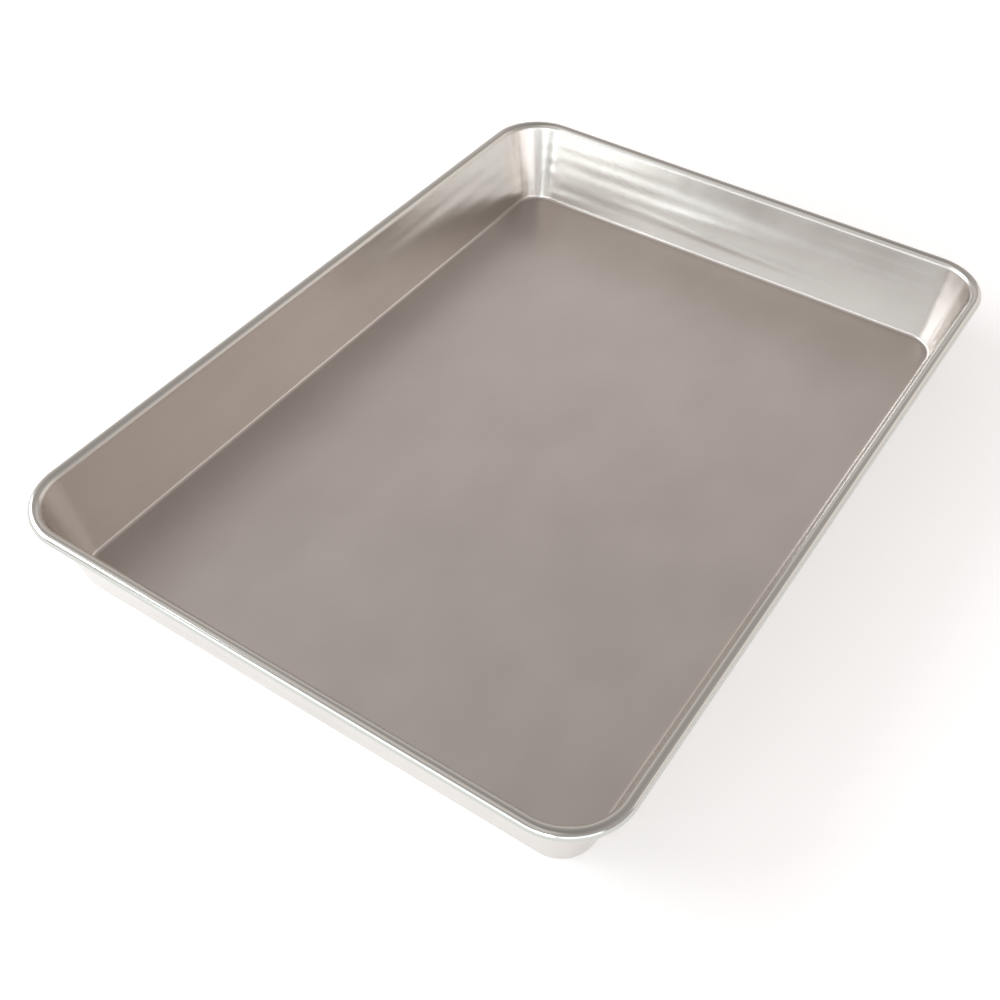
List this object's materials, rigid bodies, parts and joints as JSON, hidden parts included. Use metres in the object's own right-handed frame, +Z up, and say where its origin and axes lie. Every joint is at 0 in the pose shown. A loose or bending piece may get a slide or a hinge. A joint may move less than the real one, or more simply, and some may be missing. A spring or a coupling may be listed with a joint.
{
  "type": "sheet cake pan",
  "caption": "Rectangular drawn aluminium baking pan with leaning walls, rounded corners and a rim rolled round a steel wire.",
  "frame": {"origin": "centre of the floor's underside, which is what the pan stands on", "axes": "+X along the long sides, +Y along the short sides, +Z up out of the open top"},
  "size_m": [0.454, 0.327, 0.0495],
  "materials": {
    "drawn_aluminium": "satin, as drawn",
    "galvanised_wire": "dull zinc coat"
  },
  "bodies": {
    "root": {"pan_body": "drawn_aluminium", "rim_wire": "galvanised_wire"}
  },
  "joints": []
}
